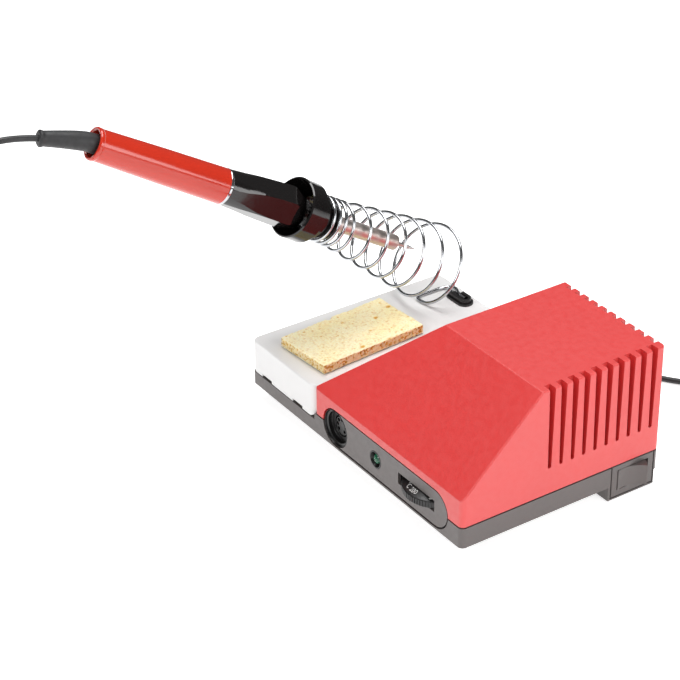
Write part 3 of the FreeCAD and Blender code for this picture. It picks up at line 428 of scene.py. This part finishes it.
def winding_tape():
    """Amber polyester tape over the windings, with faint wire ridges under it."""
    finish = Finish("winding_tape", (0.72, 0.50, 0.08), 0.3, Coat_Weight=0.4, Coat_Roughness=0.15)
    ridges = finish.bands(0.0009, "Z", 0.6)
    finish.links.new(finish.mixed(finish.between(ridges, 0.0, 0.35), (0.74, 0.52, 0.09), (0.42, 0.25, 0.03)),
                     finish.shader.inputs["Base Color"])
    finish.rough(finish.clouds(0.004), 0.22, 0.4)
    finish.bump(ridges, 0.0001, 0.5)
    return finish.material


def barrel_steel():
    """Stainless tube, heat-tinted brown towards the tip."""
    finish = Finish("barrel_steel", (0.64, 0.59, 0.56), 0.26, Metallic=1.0)
    split = finish.nodes.new("ShaderNodeSeparateXYZ")
    finish.links.new(finish.where, split.inputs["Vector"])
    heat = finish.nodes.new("ShaderNodeMath")
    heat.operation = "ADD"
    finish.links.new(finish.between(split.outputs["Y"], 0.0, 1.0, -0.035, 0.02), heat.inputs[0])
    finish.links.new(finish.between(finish.clouds(0.01, 3.0), -0.1, 0.1), heat.inputs[1])
    tinted = finish.mixed(heat.outputs["Value"], (0.74, 0.68, 0.65), (0.66, 0.55, 0.50))
    finish.links.new(tinted, finish.shader.inputs["Base Color"])
    finish.rough(finish.clouds(0.004, 3.0), 0.32, 0.42)
    finish.bump(finish.bands(0.0005, "Y", 1.0), 0.00001, 0.5)
    return finish.material


def sponge_cellulose():
    """Damp-dry cellulose: pale yellow skin, with painted shade of deeper amber in the pores and on the cut
    sides.
    """
    finish = Finish("yellow_sponge", (0.90, 0.68, 0.25), 0.95, Subsurface_Weight=0.15,
                    Subsurface_Radius=(0.003, 0.002, 0.0008), Subsurface_Scale=1.0, Sheen_Weight=0.2)
    fine = finish.between(finish.clouds(0.0012, 4.0), 1.0, 0.0, 0.38, 0.60)
    blotches = finish.clouds(0.02, 3.0)
    skin = finish.mixed(finish.between(blotches, 0.0, 1.0), (1.0, 0.93, 0.66), (1.0, 0.90, 0.56))
    speckled = finish.mixed(finish.between(fine, 0.0, 0.45, 0.0, 1.0), skin, (0.94, 0.72, 0.26))
    # Painted shade: the deeper amber goes where the pores sink and on the cut sides.
    attribute = finish.nodes.new("ShaderNodeAttribute")
    attribute.attribute_name = "pore_shade"
    pore_shaded = finish.mixed(attribute.outputs["Fac"], speckled, (0.70, 0.38, 0.04))
    finish.links.new(pore_shaded, finish.shader.inputs["Base Color"])
    finish.bump(finish.clouds(0.0009, 5.0), 0.0003, 0.9)
    return finish.material


def printed_ink():
    """Pad-printed white ink, slightly uneven."""
    finish = Finish("printed_ink", (0.82, 0.82, 0.80), 0.5)
    finish.tint(finish.clouds(0.0008), 0.8, 1.1)
    finish.rough(finish.clouds(0.0005), 0.4, 0.6)
    finish.bump(finish.clouds(0.0004), 0.00001)
    return finish.material


def strap_weave():
    """Black hook-and-loop tape: a short woven pile."""
    finish = Finish("strap_weave", (0.016, 0.016, 0.018), 0.85, Sheen_Weight=0.25, Sheen_Roughness=0.6)
    weave = finish.cells(0.0006)
    finish.tint(weave, 0.6, 1.8)
    finish.rough(weave, 0.7, 0.95)
    finish.bump(weave, 0.0002, 0.8)
    return finish.material


RED = (0.62, 0.032, 0.030)
DARK = (0.106, 0.092, 0.088)
MATERIALS = {
    "red_shell": moulded("red_shell", RED, 0.46, 0.0009, 0.00006, 1.18, Specular_IOR_Level=0.95),
    "dark_shell": moulded("dark_shell", DARK, 0.42, 0.0007, 0.00005, 1.5),
    "black_plastic": moulded("black_plastic", (0.009, 0.0085, 0.0085), 0.34, 0.0005, 0.00002, 1.7),
    "grey_tray": moulded("grey_tray", (0.75, 0.745, 0.74), 0.40, 0.0008, 0.00003, 1.05,
                         Specular_IOR_Level=0.6),
    "black_rubber": rubbery("black_rubber", (0.014, 0.014, 0.015), 0.55),
    "zinc_screws": metal("zinc_screws", (0.68, 0.68, 0.66), 0.32, 0.0004),
    "brass_contacts": metal("brass_contacts", (0.80, 0.62, 0.30), 0.25, 0.0004),
    "green_lens": clear("green_lens", (0.02, 0.30, 0.14), 0.12, 0.7),
    "circuit_board": circuit_board(),
    "aluminium_sink": metal("aluminium_sink", (0.78, 0.79, 0.80), 0.38, 0.0008, "Z"),
    "fuse_glass": clear("fuse_glass", (0.92, 0.95, 0.95), 0.05, 0.95),
    "core_steel": laminations(),
    "bobbin_nylon": moulded("bobbin_nylon", (0.72, 0.69, 0.60), 0.5, 0.0006, 0.00003, 1.05,
                            Subsurface_Weight=0.1, Subsurface_Scale=0.002),
    "winding_tape": winding_tape(),
    "chrome_wire": metal("chrome_wire", (0.53, 0.54, 0.56), 0.09, 0.0005),
    "gloss_black": glossy("gloss_black", (0.006, 0.005, 0.005), 0.10, Coat_Weight=0.3, Coat_Roughness=0.04),
    "yellow_sponge": sponge_cellulose(),
    "red_handle": glossy("red_handle", (0.50, 0.026, 0.010), 0.13, Coat_Weight=0.35, Coat_Roughness=0.08),
    "barrel_steel": barrel_steel(),
    "tip_plating": metal("tip_plating", (0.74, 0.72, 0.70), 0.28, 0.0003, None, (0.52, 0.44, 0.39)),
    "heater_ceramic": moulded("heater_ceramic", (0.80, 0.77, 0.70), 0.7, 0.0004, 0.00004, 1.0),
    "cord_black": rubbery("cord_black", (0.012, 0.012, 0.013), 0.5),
}


def paint(obj, slot_name):
    """Give every face of an object the material of one of the record's slots."""
    obj.data.materials.clear()
    obj.data.materials.append(MATERIALS[slot_name])


def finish_cad_nodes():
    """Give each CAD node the material of its slot in the record."""
    for part in frame["record"]["subparts"]:
        obj = frame["nodes"][part["node"]]
        for slot in obj.material_slots:
            slot.material = MATERIALS[part["material_slot"]]


finish_cad_nodes()
paint(iron_lead, "cord_black")
paint(mains_lead, "cord_black")


# ---- iron holder wire --------------------------------------------------------------------
DECK_Z = 44.6
HOLDER_AT = Vector((-97.3, -22.4, 121.0))
HOLDER_PITCH = math.radians(34.44)
HOLDER_DIR = Vector((0, math.cos(HOLDER_PITCH), -math.sin(HOLDER_PITCH)))
HOLDER_UP = Vector((0, math.sin(HOLDER_PITCH), math.cos(HOLDER_PITCH)))
WIRE_D = 2.3
FIRST_TURN = -3.4                # turns up to nought are wound close on the funnel
LAST_TURN = 6.42
MOUTH_R = 15.5                   # radius of the coil where it leaves the funnel
CLOSE_PITCH, CLOSE_WIDENING = 5.2, 0.05
OPEN_PITCH, PITCH_GAIN, OPEN_WIDENING = 13.6, 0.30, 0.1245
END_TURN, END_TIGHTENING = 6.0, 18.3
WIRE_FOOT = ((-90.0, 42.2, 0.1), (-94.6, 42.4, 0.0), (-96.6, 46.2, 0.0), (-96.4, 55.5, 0.0),
             (-96.6, 65.0, 0.1), (-93.4, 70.0, 0.8), (-87.0, 70.7, 1.6), (-81.0, 67.0, 2.0),
             (-72.5, 66.5, 2.1))    # x, y and lift above the tray


def holder_point(t):
    """A control point of the wire, t turns after the first open turn's top."""
    if t < 0:
        along = CLOSE_PITCH * t
        radius = MOUTH_R + CLOSE_WIDENING * along
    else:
        late = max(0.0, t - END_TURN)
        along = OPEN_PITCH * t + PITCH_GAIN * t ** 2 - END_TIGHTENING * late ** 2
        radius = MOUTH_R + OPEN_WIDENING * along
    radius *= CORNER_OUT
    phase = 2 * math.pi * t
    across = Vector((math.sin(phase), 0, 0))
    return HOLDER_AT + HOLDER_DIR * along + (HOLDER_UP * math.cos(phase) + across) * radius


def add_holder_wire():
    """Close turns on the funnel, open turns that widen, then a foot across the tray to its clip."""
    count = round((LAST_TURN - FIRST_TURN) * TURN_POINTS)
    points = [holder_point(FIRST_TURN + (LAST_TURN - FIRST_TURN) * i / count) for i in range(count + 1)]
    lowest = DECK_Z + WIRE_D / 2 + 0.05
    points += [Vector((x, y, lowest + lift)) for x, y, lift in WIRE_FOOT]
    wire, _ = tube_along("holder_wire", millimetres(points), WIRE_D / 2 * MM)
    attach(wire, "station")
    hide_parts("holder_coil")
    paint(wire, "chrome_wire")


# ---- swept pieces: cord boot, straps -----------------------------------------------------
def ring_frames(path):
    """A point, and two directions across the path, for each place along it."""
    frames = []
    side = None
    for i, point in enumerate(path):
        ahead = (path[min(i + 1, len(path) - 1)] - path[max(i - 1, 0)]).normalized()
        if side is None:
            side = ahead.cross(Vector((0, 0, 1))).normalized()
        side = (side - ahead * side.dot(ahead)).normalized()
        frames.append((point, side, ahead.cross(side)))
    return frames


def swept(name, path, radii, steps=32):
    """A closed round body whose radius follows radii, one for each point of path."""
    shape = bmesh.new()
    rings = []
    for (point, side, up), radius in zip(ring_frames(path), radii):
        ring = []
        for i in range(steps):
            angle = 2 * math.pi * i / steps
            ring.append(shape.verts.new(point + (side * math.cos(angle) + up * math.sin(angle)) * radius))
        rings.append(ring)
    for first, second in zip(rings, rings[1:]):
        for i in range(steps):
            j = (i + 1) % steps
            shape.faces.new((first[i], first[j], second[j], second[i])).smooth = True
    shape.faces.new(list(reversed(rings[0])))
    shape.faces.new(rings[-1])
    return mesh_object(name, shape)


def mesh_object(name, shape):
    """Turn a bmesh into a linked object with outward faces."""
    bmesh.ops.recalc_face_normals(shape, faces=shape.faces)
    mesh = bpy.data.meshes.new(name)
    shape.to_mesh(mesh)
    shape.free()
    return link(bpy.data.objects.new(name, mesh))


def along_profile(share, profile):
    """The radius at a share of the length, from (share, radius) pairs."""
    for (s0, r0), (s1, r1) in zip(profile, profile[1:]):
        if share <= s1:
            return r0 + (r1 - r0) * (share - s0) / (s1 - s0)
    return profile[-1][1]


IRON_AT = Vector((-97.3, -42.8, 134.4))
IRON_DIR = Vector((-0.1426, -0.8584, 0.4928)).normalized()
BOOT_ROOT_S, BOOT_BEND_S, BOOT_KNEE_S = 146.0, 157.0, 168.0    # along the iron's axis
BOOT_RUN, BOOT_RISE = 27.0, 6.5                                 # from the knee to the end
BOOT_PROFILE = ((0.0, 6.7), (0.50, 5.95), (0.925, 4.85), (0.935, 4.75), (0.945, 5.05), (0.96, 5.35),
                (0.98, 5.4), (0.993, 5.1), (0.999, 4.6), (1.0, 4.2))


def add_boot():
    """The soft sleeve where the lead leaves the handle, with a rolled rim at its end."""
    knee = IRON_AT + IRON_DIR * BOOT_KNEE_S
    level = Vector((IRON_DIR.x, IRON_DIR.y, 0)).normalized()
    end = knee + level * BOOT_RUN + Vector((0, 0, BOOT_RISE))
    corners = [IRON_AT + IRON_DIR * BOOT_ROOT_S, IRON_AT + IRON_DIR * BOOT_BEND_S, knee, end]
    route = nurbs_line("boot_line", millimetres(corners), 0)
    coarse = line_points(route)
    bpy.data.objects.remove(route)
    path = []
    for first, second in zip(coarse, coarse[1:]):
        path += [first.lerp(second, i / 6) for i in range(6)]
    path.append(coarse[-1])
    travelled = [0.0]
    for first, second in zip(path, path[1:]):
        travelled.append(travelled[-1] + (second - first).length)
    radii = [along_profile(place / travelled[-1], BOOT_PROFILE) * MM for place in travelled]
    boot = swept("cord_boot", path, radii)
    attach(boot, "iron")
    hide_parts("iron_boot")
    paint(boot, "black_rubber")


STRAP_T = 0.7
STRAP_BEND = 1.6                 # radius of the strap's inner face at each corner
STRAP_SECTION = ((-3.5, 0.15), (-3.5, 0.55), (-3.35, STRAP_T), (3.35, STRAP_T), (3.5, 0.55), (3.5, 0.15),
                 (3.35, 0.0), (-3.35, 0.0))


def add_strap(name, node, body, centre, angle, radial, heights):
    """A hook-and-loop strap once around the turns of a coil, its free end lapped over."""
    inner, outer = radial
    low, high = heights
    line = []
    right, left = outer - STRAP_BEND, inner + STRAP_BEND
    bottom, top = low + STRAP_BEND, high - STRAP_BEND
    for sx, sz, start in ((right, bottom, -90), (right, top, 0), (left, top, 90), (left, bottom, 180)):
        for i in range(7):
            turn = math.radians(start + i * 15)
            line.append((sx + STRAP_BEND * math.cos(turn), sz + STRAP_BEND * math.sin(turn),
                         math.cos(turn), math.sin(turn)))
    lap = line[7:14]
    shape = bmesh.new()
    across = Matrix.Rotation(math.radians(angle), 3, "Z")
    for points, lift, closed in ((line, 0.0, True), (lap, STRAP_T, False)):
        rows = []
        for radius, height, out_r, out_z in points:
            row = []
            for side, depth in STRAP_SECTION:
                reach = depth + lift
                spot = across @ Vector((radius + out_r * reach, side, 0))
                row.append(shape.verts.new(Vector((centre[0] + spot.x, centre[1] + spot.y,
                                                   height + out_z * reach)) * MM))
            rows.append(row)
        pairs = list(zip(rows, rows[1:]))
        if closed:
            pairs.append((rows[-1], rows[0]))
        else:
            shape.faces.new(rows[0])
            shape.faces.new(rows[-1])
        for first, second in pairs:
            for i, corner in enumerate(first):
                j = (i + 1) % len(first)
                shape.faces.new((corner, first[j], second[j], second[i]))
    strap = mesh_object(name, shape)
    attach(strap, body)
    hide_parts(node)
    strap.data.materials.append(strap_weave())


# ---- sponge ------------------------------------------------------------------------------
SPONGE_AT = Vector((-75.5, -23.5, 48.4))
SPONGE_TURN = 4.2
SPONGE_HALF = Vector((23.4, 41.9, 3.45))
SPONGE_STEP = 0.45
SPONGE_EDGE = 0.9                # radius of its worn edges
SPONGE_SKIN = 0.25               # how far the skin is set in, so that its swell stays within its size
# Pores: (spacing, share that are open, smallest and largest radius, depth).
PORE_SIZES = ((8.5, 0.45, 0.9, 2.0, 1.7), (4.2, 0.5, 0.6, 1.1, 1.1), (2.4, 0.5, 0.4, 0.7, 0.7))


def lattice_shell(half, step):
    """The faces of a box as a fine mesh whose neighbouring sides share their points."""
    counts = [max(4, round(2 * size / step)) for size in half]
    shape = bmesh.new()
    verts = {}

    def corner(key):
        """The one vertex at a lattice place."""
        if key not in verts:
            verts[key] = shape.verts.new([half[a] * (2 * key[a] / counts[a] - 1) for a in range(3)])
        return verts[key]

    for axis in range(3):
        u, v = (axis + 1) % 3, (axis + 2) % 3
        for level in (0, counts[axis]):
            for i in range(counts[u]):
                for j in range(counts[v]):
                    keys = []
                    for di, dj in ((0, 0), (1, 0), (1, 1), (0, 1)):
                        key = [0, 0, 0]
                        key[axis], key[u], key[v] = level, i + di, j + dj
                        keys.append(tuple(key))
                    shape.faces.new([corner(key) for key in keys]).smooth = True
    return shape


def pore_depth(place):
    """How far the surface sinks at this place, in millimetres."""
    sink = 0.0
    for cell, share, small, large, depth in PORE_SIZES:
        distances, points = noise.voronoi(place / cell)
        chance = noise.cell_vector(points[0] * 7.3 + Vector((cell, 0, 0)))
        if abs(chance.x) > share:
            continue
        radius = small + (large - small) * min(1.0, abs(chance.y))
        sink = max(sink, depth * smooth_step(1.25 - distances[0] * cell / radius))
    return sink


def add_sponge():
    """The sponge as a fine shell with pores, ragged cut sides and a gentle swell."""
    shape = lattice_shell(SPONGE_HALF, SPONGE_STEP)
    pore_shade = shape.verts.layers.float.new("pore_shade")
    for vert in shape.verts:
        flat = vert.co.copy()
        core = Vector([max(SPONGE_EDGE - size, min(size - SPONGE_EDGE, value))
                       for value, size in zip(flat, SPONGE_HALF)])
        out = (flat - core).normalized() if (flat - core).length > 1e-6 else Vector((0, 0, 1))
        place = core + out * SPONGE_EDGE
        swell = noise.noise(place / 14.0) * 0.5 + noise.noise(place / 4.0) * 0.28
        ragged = noise.noise(place / 1.3 + Vector((5, 0, 0))) * 0.2
        sink = pore_depth(Vector((place.x, place.y * 0.8, place.z)))
        cut_side = 1.0 - smooth_step(abs(out.z) * 2.0)
        crumb = smooth_step(noise.noise(place / 1.5 + Vector((0, 9, 0))) * 2.4 - 0.2)
        sink = max(sink, crumb * (0.25 + 1.0 * cut_side))
        if out.z < -0.5:
            swell, ragged, sink = 0.0, 0.0, sink * 0.3
        vert.co = place + out * (swell + ragged * (1.0 + 1.2 * cut_side) - sink - SPONGE_SKIN)
        # Painted shade: the colour darkens with the depth of each pore, and on the cut sides.
        vert[pore_shade] = min(1.0, sink / 0.75 + 0.3 * cut_side)
    turn = Matrix.Rotation(math.radians(SPONGE_TURN), 4, "Z")
    shape.transform(Matrix.Scale(MM, 4) @ Matrix.Translation(SPONGE_AT) @ turn)
    sponge = mesh_object("cleaning_sponge", shape)
    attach(sponge, "wiping_sponge")
    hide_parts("sponge")
    paint(sponge, "yellow_sponge")


# ---- numerals on the temperature wheel ---------------------------------------------------
WHEEL_AT = Vector((69.6, -60.0, 0))
BEVEL_IN, BEVEL_OUT = (15.0, 30.0), (21.4, 27.3)     # radius and height of the bevel's two edges
NUMERAL_H = 3.3
TEXT_AT = 19.9                   # radius of the numerals' baseline
TEXT_LIFT = 0.05                 # how far the ink stands off the bevel
NUMERALS = ("°C 200", "250", "300", "350", "400", "450")
FIRST_NUMERAL, NUMERAL_STEP = -97, 54    # degrees


def add_numerals():
    """White degree marks wrapped round the wheel's bevel."""
    shape = bmesh.new()
    for i, label in enumerate(NUMERALS):
        font = bpy.data.curves.new("numeral", "FONT")
        font.body = label
        font.size = NUMERAL_H * 1.35
        font.align_x = "CENTER"
        font.resolution_u = 3
        holder = bpy.data.objects.new("numeral", font)
        mesh = bpy.data.meshes.new_from_object(holder)
        middle = math.radians(FIRST_NUMERAL + i * NUMERAL_STEP)
        letters = bmesh.new()
        letters.from_mesh(mesh)
        bmesh.ops.triangulate(letters, faces=letters.faces)
        for vert in letters.verts:
            radius = TEXT_AT - vert.co.y
            angle = middle + vert.co.x / TEXT_AT
            share = (radius - BEVEL_IN[0]) / (BEVEL_OUT[0] - BEVEL_IN[0])
            height = BEVEL_IN[1] + (BEVEL_OUT[1] - BEVEL_IN[1]) * share + TEXT_LIFT
            vert.co = (WHEEL_AT + Vector((radius * math.cos(angle), radius * math.sin(angle), height))) * MM
        letters.to_mesh(mesh)
        letters.free()
        shape.from_mesh(mesh)
        bpy.data.meshes.remove(mesh)
        bpy.data.objects.remove(holder)
        bpy.data.curves.remove(font)
    numerals = mesh_object("dial_numerals", shape)
    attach(numerals, "temperature_dial")
    numerals.data.materials.append(printed_ink())


add_holder_wire()
add_boot()
add_strap("iron_lead_strap", "iron_lead_tie", "station", LEAD_COIL, -70, (16.1, 29.1), (0.75, 9.55))
add_strap("mains_lead_strap", "mains_lead_tie", "station", MAINS_COIL, -60, (13.6, 30.4), (0.75, 9.35))
add_sponge()
add_numerals()


# ---- floor, light and background ---------------------------------------------------------
FLOOR_HALF = 6.0
FLOOR_GLOW = 0.72
LIGHT_AIM = Vector((0, -0.05, 0.06))
WORLD_TOP_AT = 0.8               # height on the sky, nought to one, where it is brightest
WORLD_DIM, WORLD_BRIGHT = 0.06, 0.16
# Area lights: (name, place, size, power).
LIGHTS = (("key", (1.5, 0.35, 0.75), (1.0, 1.0), 14.0),
          ("fill", (0.35, -1.5, 1.1), (1.2, 0.8), 12.5),
          ("top", (-0.3, 0.2, 1.7), (1.2, 1.2), 29.0))


def add_floor():
    """A sheet of white paper on a light table, which gives almost no shadow."""
    mesh = bpy.data.meshes.new("floor")
    corners = [(x * FLOOR_HALF, y * FLOOR_HALF, 0) for x, y in ((-1, -1), (1, -1), (1, 1), (-1, 1))]
    mesh.from_pydata(corners, [], [(0, 1, 2, 3)])
    floor = link(bpy.data.objects.new("floor", mesh))
    paper = Finish("white_paper", (0.80, 0.80, 0.80), 0.9, Specular_IOR_Level=0.1,
                   Emission_Strength=FLOOR_GLOW)
    paper.shader.inputs["Emission Color"].default_value = (1.0, 1.0, 1.0, 1.0)
    paper.tint(paper.clouds(0.4), 0.995, 1.005)
    paper.bump(paper.clouds(0.002), 0.00002)
    mesh.materials.append(paper.material)


def add_light(name, place, size, power):
    """A soft area light that faces the object."""
    data = bpy.data.lights.new(name, "AREA")
    data.shape = "RECTANGLE"
    data.size, data.size_y = size
    data.energy = power
    light = link(bpy.data.objects.new(name, data))
    light.location = place
    aim = LIGHT_AIM - Vector(place)
    light.rotation_euler = aim.to_track_quat("-Z", "Y").to_euler()


def add_world():
    """A studio that is dim at eye level and brighter overhead."""
    world = bpy.data.worlds.new("studio")
    world.use_nodes = True
    nodes = world.node_tree.nodes
    links = world.node_tree.links
    split = nodes.new("ShaderNodeSeparateXYZ")
    links.new(nodes.new("ShaderNodeTexCoord").outputs["Generated"], split.inputs["Vector"])
    rise = nodes.new("ShaderNodeMapRange")
    set_range(rise, 0.0, WORLD_TOP_AT, WORLD_DIM, WORLD_BRIGHT)
    links.new(split.outputs["Z"], rise.inputs["Value"])
    links.new(rise.outputs["Result"], nodes["Background"].inputs["Strength"])
    nodes["Background"].inputs["Color"].default_value = (1.0, 1.0, 1.0, 1.0)
    bpy.context.scene.world = world


add_floor()
add_world()
for light_row in LIGHTS:
    add_light(*light_row)
bpy.context.scene.view_settings.view_transform = "Standard"
